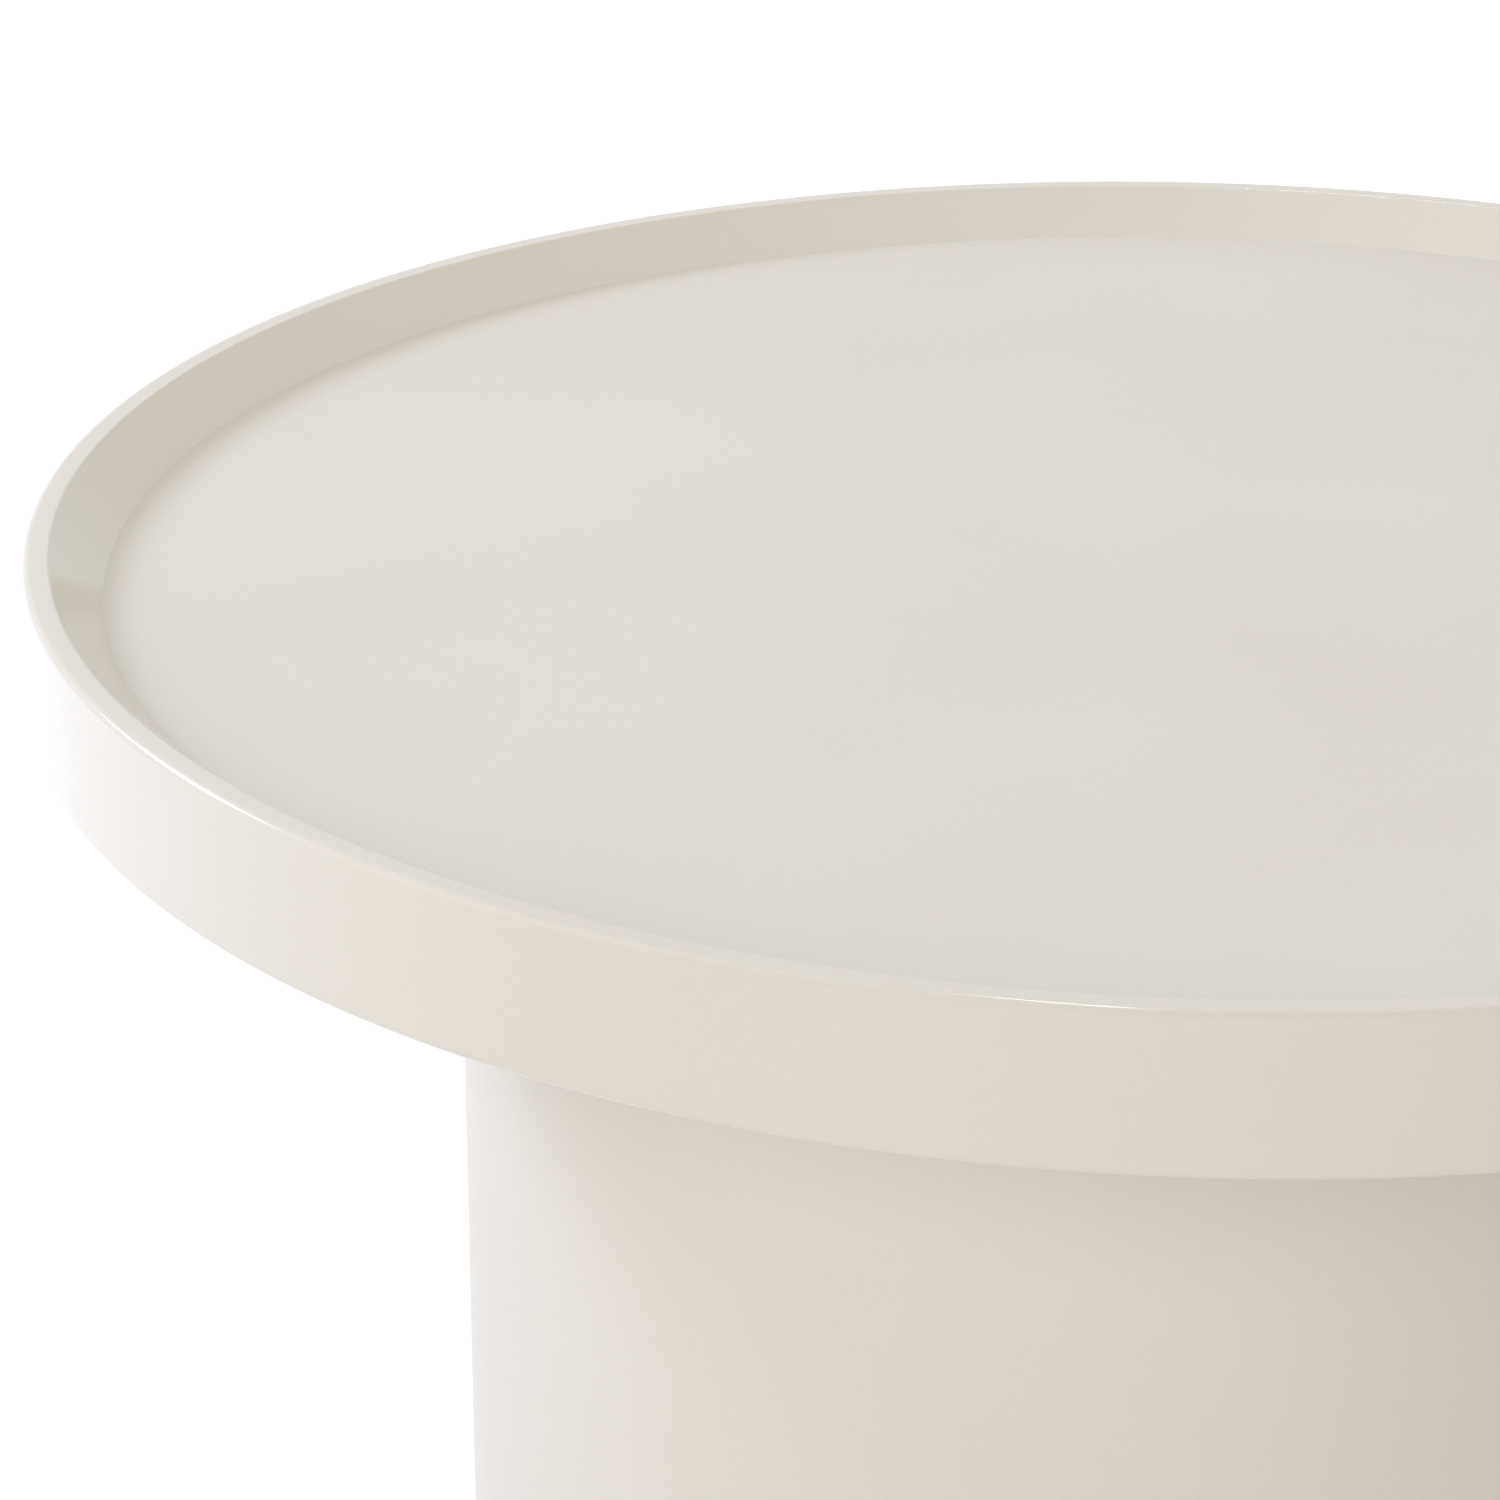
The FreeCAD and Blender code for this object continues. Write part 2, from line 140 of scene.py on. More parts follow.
def grid_faces(rows, columns, around, along):
    """Corner numbers of a grid's four-sided faces, closed round its columns and along its rows if asked."""
    index = np.arange(rows * columns).reshape(rows, columns)
    if along:
        index = np.concatenate([index, index[:1]], 0)
    if around:
        index = np.concatenate([index, index[:, :1]], 1)
    return np.stack([index[:-1, :-1], index[:-1, 1:], index[1:, 1:], index[1:, :-1]], -1).reshape(-1, 4)


def closed_piece(name, points, faces):
    """Mesh object with its doubled points, at poles and seams, merged, and its faces turned outwards."""
    mesh = bpy.data.meshes.new(name)
    mesh.from_pydata(points.tolist(), [], faces.tolist())
    merged = bmesh.new()
    merged.from_mesh(mesh)
    bmesh.ops.remove_doubles(merged, verts=merged.verts, dist=TOLERANCE)
    bmesh.ops.recalc_face_normals(merged, faces=merged.faces)
    merged.to_mesh(mesh)
    merged.free()
    mesh.polygons.foreach_set("use_smooth", np.ones(len(mesh.polygons), bool))
    piece = bpy.data.objects.new(name, mesh)
    bpy.context.scene.collection.objects.link(piece)
    return piece


def face_centres(piece):
    """Centre of each face of a piece, as one row for each."""
    centres = np.empty(3 * len(piece.data.polygons))
    piece.data.polygons.foreach_get("center", centres)
    return centres.reshape(-1, 3)


def turned(name, profile, closed, centre=(0, 0), steps=720):
    """Turned about an upright axis: x = r cos t + centre x, y = r sin t + centre y, for each (r, z)."""
    turn = np.linspace(0, 2 * np.pi, steps, endpoint=False)
    radius, height = profile[:, :1], profile[:, 1:]
    points = np.stack([
        radius * np.cos(turn) + centre[0],
        radius * np.sin(turn) + centre[1],
        np.broadcast_to(height, (len(profile), steps)),
    ], -1)
    return closed_piece(name, points.reshape(-1, 3), grid_faces(len(profile), steps, True, closed))


# Pigmented polyurethane lacquer, sprayed over filled and sanded board and polished: a glossy cream film.
# The sharp glints on its rounded edges come from the gloss. The film's thickness drifts a little from place
# to place, and a faint orange peel, about 4 mm from crest to crest, only loosens the reflections.
# On the lip, the tray floor and the drum it is rubbed down to satin, which mirrors only a haze.
LACQUER_CREAM = "#D8D2C7"
LACQUER_CREAM_THIN = "#D4CDC1"
LACQUER_IOR = 1.5
POLISHED_ROUGHNESS = (0.08, 0.12)
RUBBED_ROUGHNESS = (0.44, 0.52)
ORANGE_PEEL_PERIOD = 4 * MM
ORANGE_PEEL_HEIGHT = 0.02 * MM
FILM_PATCH_PERIOD = 90 * MM
# Most of a noise lies between these two values.
NOISE_LOW = 0.3
NOISE_HIGH = 0.7
# A colour mix has its two colours on these sockets, and what they give on this output.
FIRST_COLOUR = 6
SECOND_COLOUR = 7
MIXED_COLOUR = 2


def lacquer_film(name, roughness):
    """Material of the sprayed film, from its least and its greatest roughness.

    Slow noise, for the film's thickness, drives tint and roughness. Fine noise is the orange peel.
    """
    film = new_material(name)
    place = add_node(film, "ShaderNodeTexCoord", {}).outputs["Object"]
    patches = add_node(film, "ShaderNodeTexNoise", {
        "Vector": place, "Scale": 1 / FILM_PATCH_PERIOD, "Detail": 2.0, "Roughness": 0.5,
    }).outputs["Fac"]
    tint = add_node(film, "ShaderNodeMix", {
        "Factor": patches, FIRST_COLOUR: linear(LACQUER_CREAM), SECOND_COLOUR: linear(LACQUER_CREAM_THIN),
    }, data_type="RGBA").outputs[MIXED_COLOUR]
    gloss = add_node(film, "ShaderNodeMapRange", {
        "Value": patches, "From Min": NOISE_LOW, "From Max": NOISE_HIGH,
        "To Min": roughness[0], "To Max": roughness[1],
    }).outputs["Result"]
    peel = add_node(film, "ShaderNodeTexNoise", {
        "Vector": place, "Scale": 1 / ORANGE_PEEL_PERIOD, "Detail": 1.0, "Roughness": 0.4,
    }).outputs["Fac"]
    peel_bump = add_node(film, "ShaderNodeBump", {
        "Strength": 0.3, "Distance": ORANGE_PEEL_HEIGHT, "Height": peel,
    }).outputs["Normal"]
    surface = add_node(film, "ShaderNodeBsdfPrincipled", {
        "Base Color": tint, "Roughness": gloss, "IOR": LACQUER_IOR, "Normal": peel_bump,
    }).outputs["BSDF"]
    add_node(film, "ShaderNodeOutputMaterial", {"Surface": surface})
    return film


lacquer = lacquer_film("cream_polyurethane_lacquer_sprayed", POLISHED_ROUGHNESS)
satin = lacquer_film("cream_polyurethane_lacquer_rubbed_satin", RUBBED_ROUGHNESS)

rim_low, rim_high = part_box("tray_rim")
RIM_RADIUS = 250.0
LIP_WIDTH = 5.4
BEVEL_RUN = 11.0
TRAY_DEPTH = 10.5
LEDGE_WIDTH = 9.0
LEDGE_HEIGHT = 11.0
LIP_OUTER_ROUND = 1.6
LIP_INNER_ROUND = 0.7
RIM_FOOT_ROUND = 1.6
EDGE = 0.25
# Edges that turn by more than this are shaded sharp.
CREASE_ANGLE = np.radians(35)
rim_foot = rim_low.z / MM
rim_top = rim_high.z / MM
lip_inner = RIM_RADIUS - LIP_WIDTH
slope_foot = lip_inner - BEVEL_RUN
ledge_edge = slope_foot - LEDGE_WIDTH
tray_floor = rim_top - TRAY_DEPTH
ledge_top = rim_foot + LEDGE_HEIGHT
rim = turned("tray_rim_hoop", rounded_profile([
    (ledge_edge, rim_foot, EDGE),
    (RIM_RADIUS, rim_foot, RIM_FOOT_ROUND),
    (RIM_RADIUS, rim_top, LIP_OUTER_ROUND),
    (lip_inner, rim_top, LIP_INNER_ROUND),
    (slope_foot, tray_floor, 0),
    (slope_foot, ledge_top, EDGE),
    (ledge_edge, ledge_top, EDGE),
]), closed=True)
rim.data.set_sharp_from_angle(angle=CREASE_ANGLE)
rim.data.materials.append(lacquer)
rim.data.materials.append(satin)
on_lip = face_centres(rim)[:, 2] > rim_high.z - TOLERANCE
rim.data.polygons.foreach_set("material_index", on_lip.astype(int))
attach(rim, "table")
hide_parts("tray_rim")


# Tray panel
# The floor of the tray is a flat disc of board that drops on the rim's ledge and is glued there. Its upper
# edge is square, so that the floor runs straight up to the foot of the rim's slope.
GLUE_LINE = 0.1
panel_foot_edge = ledge_edge - GLUE_LINE
panel = turned("tray_floor_panel", rounded_profile([
    (0, rim_foot, 0),
    (panel_foot_edge, rim_foot, EDGE),
    (panel_foot_edge, ledge_top, EDGE),
    (slope_foot, ledge_top, EDGE),
    (slope_foot, tray_floor, 0),
    (0, tray_floor, 0),
], closed=False), closed=False)
panel.data.set_sharp_from_angle(angle=CREASE_ANGLE)
panel.data.materials.append(satin)
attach(panel, "table")
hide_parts("tray_panel")


# Drum shell
# The drum is a cylinder bent up from thin plies round a former and glued, 12 mm thick. Its outside and its
# foot are filled, sanded and sprayed like the tray; the inside is left as bare birch veneer.
# The shell is housed inside at both ends, over the top disc and the foot ring.
shell_low, shell_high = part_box("drum_shell")
SHELL_RADIUS = 159.0
SHELL_WALL = 12.0
HOUSING_DEPTH = 4.0
BOARD_THICKNESS = 18.0
SHELL_FOOT_ROUND = 1.6
shell_foot = shell_low.z / MM
shell_top = shell_high.z / MM
shell_bore = SHELL_RADIUS - SHELL_WALL
housing = shell_bore + HOUSING_DEPTH
shell = turned("drum_shell_bent", rounded_profile([
    (housing, shell_foot, EDGE),
    (SHELL_RADIUS, shell_foot, SHELL_FOOT_ROUND),
    (SHELL_RADIUS, shell_top, EDGE),
    (housing, shell_top, EDGE),
    (housing, shell_top - BOARD_THICKNESS, EDGE),
    (shell_bore, shell_top - BOARD_THICKNESS, EDGE),
    (shell_bore, shell_foot + BOARD_THICKNESS, EDGE),
    (housing, shell_foot + BOARD_THICKNESS, EDGE),
]), closed=True)

# Rotary-cut birch veneer, sanded and bare: pale tan, matt, with a long soft figure and fine pores.
BIRCH_PALE = "#D9BE97"
BIRCH_DARK = "#C19F74"
BIRCH_IOR = 1.5
BIRCH_ROUGHNESS = 0.62
FIGURE_WIDTH = 14 * MM
FIGURE_LENGTH = 160 * MM
PORE_WIDTH = 0.6 * MM
PORE_LENGTH = 12 * MM
PORE_DEPTH = 0.08 * MM


def birch_veneer(material, place, grain):
    """Colour and normal of birch veneer, from noise that is stretched along the grain.

    Broad noise is the figure and fine noise the pores. The grain is (1, 0, 0), (0, 1, 0) or (0, 0, 1), the
    direction in which both are long.
    """
    along = np.array(grain, float)
    figure_place = add_node(material, "ShaderNodeMapping", {
        "Vector": place, "Scale": along / FIGURE_LENGTH + (1 - along) / FIGURE_WIDTH,
    }).outputs["Vector"]
    figure = add_node(material, "ShaderNodeTexNoise", {
        "Vector": figure_place, "Scale": 1.0, "Detail": 4.0, "Roughness": 0.55, "Distortion": 0.6,
    }).outputs["Fac"]
    pore_place = add_node(material, "ShaderNodeMapping", {
        "Vector": place, "Scale": along / PORE_LENGTH + (1 - along) / PORE_WIDTH,
    }).outputs["Vector"]
    pores = add_node(material, "ShaderNodeTexNoise", {
        "Vector": pore_place, "Scale": 1.0, "Detail": 2.0, "Roughness": 0.6,
    }).outputs["Fac"]
    colour = add_node(material, "ShaderNodeMix", {
        "Factor": figure, FIRST_COLOUR: linear(BIRCH_PALE), SECOND_COLOUR: linear(BIRCH_DARK),
    }, data_type="RGBA").outputs[MIXED_COLOUR]
    normal = add_node(material, "ShaderNodeBump", {
        "Strength": 0.4, "Distance": PORE_DEPTH, "Height": pores,
    }).outputs["Normal"]
    return colour, normal


bent_birch = new_material("birch_veneer_bent_and_sanded")
place = add_node(bent_birch, "ShaderNodeTexCoord", {}).outputs["Object"]
veneer, veneer_normal = birch_veneer(bent_birch, place, grain=(0, 0, 1))
bent_surface = add_node(bent_birch, "ShaderNodeBsdfPrincipled", {
    "Base Color": veneer, "Roughness": BIRCH_ROUGHNESS, "IOR": BIRCH_IOR, "Normal": veneer_normal,
}).outputs["BSDF"]
add_node(bent_birch, "ShaderNodeOutputMaterial", {"Surface": bent_surface})

shell.data.materials.append(satin)
shell.data.materials.append(bent_birch)
face_radius = np.hypot(*face_centres(shell)[:, :2].T)
inside = face_radius < (housing + EDGE) * MM
shell.data.polygons.foreach_set("material_index", inside.astype(int))
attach(shell, "table")
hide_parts("drum_shell")


# Drum top disc, foot ring and dowels
# The disc and the ring are sawn from 18 mm birch plywood and glued in the shell's housings. The disc holds
# the tray's bolts and dowels; the ring has a hand hole, the ballast above it and levelling feet below.
# Where a board is sawn, its edge shows the plies as thin light and dark lines, 1.4 mm each.
PLY_END_GRAIN = "#A07A50"
PLY_THICKNESS = 1.4 * MM
PLY_BLUR = 0.05
# A surface that faces up or down by more than this is the face of a board, and not its edge.
FACE_TILT = 0.5
plywood = new_material("birch_plywood_sawn_and_sanded")
place = add_node(plywood, "ShaderNodeTexCoord", {}).outputs["Object"]
veneer, veneer_normal = birch_veneer(plywood, place, grain=(1, 0, 0))
facing = add_node(plywood, "ShaderNodeNewGeometry", {}).outputs["Normal"]
facing_up = add_node(plywood, "ShaderNodeSeparateXYZ", {"Vector": facing}).outputs["Z"]
flatness = add_node(plywood, "ShaderNodeMath", {0: facing_up}, operation="ABSOLUTE").outputs[0]
on_face = add_node(plywood, "ShaderNodeMath", {
    0: flatness, 1: FACE_TILT,
}, operation="GREATER_THAN").outputs[0]
height = add_node(plywood, "ShaderNodeSeparateXYZ", {"Vector": place}).outputs["Z"]
ply = add_node(plywood, "ShaderNodeMath", {0: height, 1: PLY_THICKNESS}, operation="DIVIDE").outputs[0]
ply_pair = add_node(plywood, "ShaderNodeMath", {0: ply, 1: 1.0}, operation="PINGPONG").outputs[0]
end_grain = add_node(plywood, "ShaderNodeMapRange", {
    "Value": ply_pair, "From Min": 0.5 - PLY_BLUR, "From Max": 0.5 + PLY_BLUR,
}).outputs["Result"]
plies = add_node(plywood, "ShaderNodeMix", {
    "Factor": end_grain, FIRST_COLOUR: linear(BIRCH_PALE), SECOND_COLOUR: linear(PLY_END_GRAIN),
}, data_type="RGBA").outputs[MIXED_COLOUR]
face_or_edge = add_node(plywood, "ShaderNodeMix", {
    "Factor": on_face, FIRST_COLOUR: plies, SECOND_COLOUR: veneer,
}, data_type="RGBA").outputs[MIXED_COLOUR]
plywood_surface = add_node(plywood, "ShaderNodeBsdfPrincipled", {
    "Base Color": face_or_edge, "Roughness": BIRCH_ROUGHNESS, "IOR": BIRCH_IOR, "Normal": veneer_normal,
}).outputs["BSDF"]
add_node(plywood, "ShaderNodeOutputMaterial", {"Surface": plywood_surface})


def finish_node(name, material):
    """Gives a piece of the frame one material all over."""
    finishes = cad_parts[name].data.materials
    finishes.clear()
    finishes.append(material)


for name in ("drum_top_disc", "drum_foot_ring", "locating_dowels"):
    finish_node(name, plywood)


# Ballast ring
# A ring burnt from 15 mm steel plate and powder coated black, screwed down inside the drum so that the
# table stays on its feet when someone leans on the tray's edge.
# The coat is a satin black with a fine grain.
COAT_BLACK = "#1B1B1C"
COAT_IOR = 1.5
COAT_ROUGHNESS = (0.42, 0.55)
COAT_GRAIN = 0.7 * MM
COAT_GRAIN_HEIGHT = 0.05 * MM
coat = new_material("black_powder_coat_on_steel")
place = add_node(coat, "ShaderNodeTexCoord", {}).outputs["Object"]
grain = add_node(coat, "ShaderNodeTexNoise", {
    "Vector": place, "Scale": 1 / COAT_GRAIN, "Detail": 2.0, "Roughness": 0.5,
}).outputs["Fac"]
coat_gloss = add_node(coat, "ShaderNodeMapRange", {
    "Value": grain, "From Min": NOISE_LOW, "From Max": NOISE_HIGH,
    "To Min": COAT_ROUGHNESS[0], "To Max": COAT_ROUGHNESS[1],
}).outputs["Result"]
coat_bump = add_node(coat, "ShaderNodeBump", {
    "Strength": 0.5, "Distance": COAT_GRAIN_HEIGHT, "Height": grain,
}).outputs["Normal"]
coat_surface = add_node(coat, "ShaderNodeBsdfPrincipled", {
    "Base Color": linear(COAT_BLACK), "Roughness": coat_gloss, "IOR": COAT_IOR, "Normal": coat_bump,
}).outputs["BSDF"]
add_node(coat, "ShaderNodeOutputMaterial", {"Surface": coat_surface})
finish_node("ballast_ring", coat)


# Bolts, washers, inserts, screws and flanged nuts
# Bought-in steel fixings, bright zinc plated: a cool grey metal with a satin sheen and slight clouding.
# The bolts and screws hold from inside the drum; the nuts are pressed into the foot ring from below.
ZINC_BRIGHT = "#C9CCCE"
ZINC_CLOUD = "#B4B8BD"
ZINC_ROUGHNESS = (0.28, 0.4)
CLOUD_PERIOD = 3 * MM
zinc = new_material("bright_zinc_plated_steel")
place = add_node(zinc, "ShaderNodeTexCoord", {}).outputs["Object"]
clouds = add_node(zinc, "ShaderNodeTexNoise", {
    "Vector": place, "Scale": 1 / CLOUD_PERIOD, "Detail": 3.0, "Roughness": 0.6,
}).outputs["Fac"]
zinc_colour = add_node(zinc, "ShaderNodeMix", {
    "Factor": clouds, FIRST_COLOUR: linear(ZINC_BRIGHT), SECOND_COLOUR: linear(ZINC_CLOUD),
}, data_type="RGBA").outputs[MIXED_COLOUR]
zinc_gloss = add_node(zinc, "ShaderNodeMapRange", {
    "Value": clouds, "From Min": NOISE_LOW, "From Max": NOISE_HIGH,
    "To Min": ZINC_ROUGHNESS[0], "To Max": ZINC_ROUGHNESS[1],
}).outputs["Result"]
zinc_surface = add_node(zinc, "ShaderNodeBsdfPrincipled", {
    "Base Color": zinc_colour, "Metallic": 1.0, "Roughness": zinc_gloss,
}).outputs["BSDF"]
add_node(zinc, "ShaderNodeOutputMaterial", {"Surface": zinc_surface})
for name in ("tray_bolts", "tray_washers", "tray_inserts", "ballast_screws", "leveller_nuts"):
    finish_node(name, zinc)


# Levelling pads
# Each table foot is a round pad, moulded in dark grey nylon and snapped over the head of its stem.
# The sole is dished in the middle, so that it stands on its rim and doesn't rock.
# The mould was spark eroded, which leaves the nylon dull, with a fine grain.
NYLON_GREY = "#3A3B3C"
NYLON_IOR = 1.53
NYLON_ROUGHNESS = (0.44, 0.56)
SPARK_GRAIN = 0.5 * MM
SPARK_DEPTH = 0.03 * MM
nylon = new_material("grey_nylon_moulded")
place = add_node(nylon, "ShaderNodeTexCoord", {}).outputs["Object"]
spark = add_node(nylon, "ShaderNodeTexNoise", {
    "Vector": place, "Scale": 1 / SPARK_GRAIN, "Detail": 2.0, "Roughness": 0.6,
}).outputs["Fac"]
nylon_gloss = add_node(nylon, "ShaderNodeMapRange", {
    "Value": spark, "From Min": NOISE_LOW, "From Max": NOISE_HIGH,
    "To Min": NYLON_ROUGHNESS[0], "To Max": NYLON_ROUGHNESS[1],
}).outputs["Result"]
spark_bump = add_node(nylon, "ShaderNodeBump", {
    "Strength": 0.3, "Distance": SPARK_DEPTH, "Height": spark,
}).outputs["Normal"]
nylon_surface = add_node(nylon, "ShaderNodeBsdfPrincipled", {
    "Base Color": linear(NYLON_GREY), "Roughness": nylon_gloss, "IOR": NYLON_IOR, "Normal": spark_bump,
}).outputs["BSDF"]
add_node(nylon, "ShaderNodeOutputMaterial", {"Surface": nylon_surface})

FEET = range(1, 5)
PAD_RADIUS = 13.0
PAD_THICKNESS = 5.5
PAD_FOOT_ROUND = 1.0
PAD_TOP_ROUND = 1.2
SOLE = 1.5
DISH_RADIUS = 8.0
DISH_DEPTH = 0.4
NECK_RADIUS = 4.2
SOCKET_RADIUS = 6.7
SOCKET_TOP = 3.7
foot_centre = {}
for foot in FEET:
    low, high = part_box(f"leveller_pad_{foot}")
    foot_centre[foot] = ((low.x + high.x) / 2, (low.y + high.y) / 2)
    pad = turned(f"leveller_pad_moulded_{foot}", rounded_profile([
        (0, DISH_DEPTH, 0),
        (DISH_RADIUS, DISH_DEPTH, EDGE),
        (DISH_RADIUS + DISH_DEPTH, 0, EDGE),
        (PAD_RADIUS, 0, PAD_FOOT_ROUND),
        (PAD_RADIUS, PAD_THICKNESS, PAD_TOP_ROUND),
        (NECK_RADIUS, PAD_THICKNESS, EDGE),
        (NECK_RADIUS, SOCKET_TOP, EDGE),
        (SOCKET_RADIUS, SOCKET_TOP, EDGE),
        (SOCKET_RADIUS, SOLE, EDGE),
        (0, SOLE, 0),
    ], closed=False), closed=False, centre=foot_centre[foot], steps=96)
    pad.data.materials.append(nylon)
    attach(pad, f"pad_{foot}")
    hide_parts(f"leveller_pad_{foot}")


# Levelling stems
# A steel stem turns in each pad on its round head and screws up into the flanged nut in the foot ring.
# It has a chamfered hexagon collar for a spanner, a rolled 8 mm thread, and a screwdriver slot in its tip,
# which is reached through the hand hole. It is zinc plated like the other fixings.
HEAD_RADIUS = 6.5
HEAD_FOOT = 1.7
HEAD_TOP = 3.5
HEAD_CHAMFER = 0.3
COLLAR_FOOT = 5.8
COLLAR_TOP = 10.8
COLLAR_HALF_FLATS = 6.5
COLLAR_FACE_RADIUS = 6.2
COLLAR_CHAMFER_SLOPE = np.sqrt(3)
COLLAR_CHAMFER_REACH = 0.8
COLLAR_CHAMFER_ROWS = 9
THREAD_RADIUS = 4.0
THREAD_DEPTH = 0.75
THREAD_PITCH = 1.25
THREAD_FLAT = 0.125
THREAD_ROWS = 8
TIP_CHAMFER = 1.0
TIP_ROWS = 5
SLOT_HALF = 0.8
SLOT_DEPTH = 2.0
STEP_DEGREES = 5


def collar_radius(turn, height):
    """Hexagon, half its flats / cos(angle from the middle of a flat), cut by a cone at either face."""
    sixth = np.pi / 3
    hexagon = COLLAR_HALF_FLATS / np.cos((turn % sixth) - sixth / 2)
    depth = np.minimum(height - COLLAR_FOOT, COLLAR_TOP - height)
    return np.minimum(hexagon, COLLAR_FACE_RADIUS + COLLAR_CHAMFER_SLOPE * depth)


def thread_radius(turn, height, tip):
    """Crest radius less a triangle wave of (height / pitch - turns), with its crests and roots cut flat.

    The wave fades in over the first pitch above the collar, and a chamfer takes the crests down at the tip.
    """
    phase = (height / THREAD_PITCH - turn / (2 * np.pi)) % 1
    wave = 1 - abs(2 * phase - 1)
    groove = np.clip((1 + 2 * THREAD_FLAT) * wave - THREAD_FLAT, 0, 1)
    fade = np.clip((height - COLLAR_TOP) / THREAD_PITCH, 0, 1)
    crest = np.minimum(THREAD_RADIUS, THREAD_RADIUS - TIP_CHAMFER + tip - height)
    return np.minimum(crest, THREAD_RADIUS - THREAD_DEPTH * groove * fade)


def threaded_stem(name, tip, centre):
    """Stem as one grid, angle by height: rings for the head, then the collar, then the thread.

    The slot's sides stand on doubled columns: between them no point is higher than the slot's floor. The
    tip is closed by straight lines between the points that face each other across it.
    """
    slot_edge = np.degrees(np.arcsin(SLOT_HALF / THREAD_RADIUS))
    slot_steps = int(slot_edge // STEP_DEGREES)
    quarter_steps = 90 // STEP_DEGREES
    inner = np.arange(-slot_steps, slot_steps + 1) * STEP_DEGREES
    outer = np.arange(slot_steps + 1, quarter_steps + 1) * STEP_DEGREES
    right = np.concatenate([-outer[::-1], [-slot_edge] * 2, inner, [slot_edge] * 2, outer])
    whole = np.zeros(len(outer), bool)
    slotted = np.ones(len(inner), bool)
    right_cut = np.concatenate([whole, [False, True], slotted, [True, False], whole])
    turn = np.radians(np.concatenate([right, 180 - right[-2:0:-1]]))
    cut = np.concatenate([right_cut, right_cut[-2:0:-1]])

    def all_round(values):
        """Each value as a row, the same at every angle."""
        return np.broadcast_to(values[:, None], (len(values), len(turn)))

    rings = np.array([
        (0, HEAD_FOOT),
        (HEAD_RADIUS - HEAD_CHAMFER, HEAD_FOOT),
        (HEAD_RADIUS, HEAD_FOOT + HEAD_CHAMFER),
        (HEAD_RADIUS, HEAD_TOP - HEAD_CHAMFER),
        (HEAD_RADIUS - HEAD_CHAMFER, HEAD_TOP),
        (THREAD_RADIUS, HEAD_TOP),
        (THREAD_RADIUS, COLLAR_FOOT),
    ])
    chamfer = np.linspace(0, COLLAR_CHAMFER_REACH, COLLAR_CHAMFER_ROWS)
    collar_height = all_round(np.concatenate([COLLAR_FOOT + chamfer, COLLAR_TOP - chamfer[::-1]]))
    rows = round(THREAD_ROWS * (tip - COLLAR_TOP) / THREAD_PITCH)
    thread_height = all_round(np.linspace(COLLAR_TOP, tip, rows))
    thread_height = np.where(cut, np.minimum(thread_height, tip - SLOT_DEPTH), thread_height)

    radius = np.concatenate([
        all_round(rings[:, 0]),
        collar_radius(turn, collar_height),
        thread_radius(turn, thread_height, tip),
    ])
    height = np.concatenate([all_round(rings[:, 1]), collar_height, thread_height])
    side = np.stack([radius * np.cos(turn), radius * np.sin(turn), height], -1)
    edge = side[-1]
    across = np.concatenate([edge[:1], edge[len(right):][::-1], edge[len(right) - 1:len(right)]])
    share = np.linspace(0, 1, TIP_ROWS)[:, None, None]
    cap = edge[:len(right)] * (1 - share) + across * share

    side_faces = grid_faces(*side.shape[:2], around=True, along=False)
    cap_faces = grid_faces(*cap.shape[:2], around=False, along=False) + side.shape[0] * side.shape[1]
    points = np.concatenate([side.reshape(-1, 3), cap.reshape(-1, 3)]) * MM
    outward = np.arctan2(centre[1], centre[0])
    placed = np.stack([
        points[:, 0] * np.cos(outward) - points[:, 1] * np.sin(outward) + centre[0],
        points[:, 0] * np.sin(outward) + points[:, 1] * np.cos(outward) + centre[1],
        points[:, 2],
    ], 1)
    return closed_piece(name, placed, np.concatenate([side_faces, cap_faces]))


for foot in FEET:
    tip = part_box(f"leveller_stem_{foot}")[1].z / MM
    stem = threaded_stem(f"leveller_stem_threaded_{foot}", tip, foot_centre[foot])
    stem.data.set_sharp_from_angle(angle=CREASE_ANGLE)
    stem.data.materials.append(zinc)
    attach(stem, f"stem_{foot}")
    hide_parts(f"leveller_stem_{foot}")


# Floor and light
# A white studio floor in an even white room, with cool daylight from a window on the left and warmer
# softboxes round the table. Seen directly or in a reflection, floor and room are white, but the floor
# keeps the table's shadow.
FLOOR_WHITE = "#F2F2F2"
ROOM_WHITE = "#FFFFFF"
ROOM_LIGHT = 0.372
FLOOR_HALF = 6.0
FLOOR_LEVEL = -0.1 * MM
# The floor is lifted to white only a little near the table, and more where less of the lamps' light arrives.
NEAR_LIFT = 0.23
NEAR_RADIUS = 0.6
FAR_LIFT = 0.65
FAR_RADIUS = 2.2
floor_corners = np.array([(-1, -1, 0), (1, -1, 0), (1, 1, 0), (-1, 1, 0)], float) * FLOOR_HALF
floor_corners[:, 2] = FLOOR_LEVEL
floor_mesh = bpy.data.meshes.new("studio_floor")
floor_mesh.from_pydata(floor_corners.tolist(), [], [(0, 1, 2, 3)])
floor = bpy.data.objects.new("studio_floor", floor_mesh)
bpy.context.scene.collection.objects.link(floor)


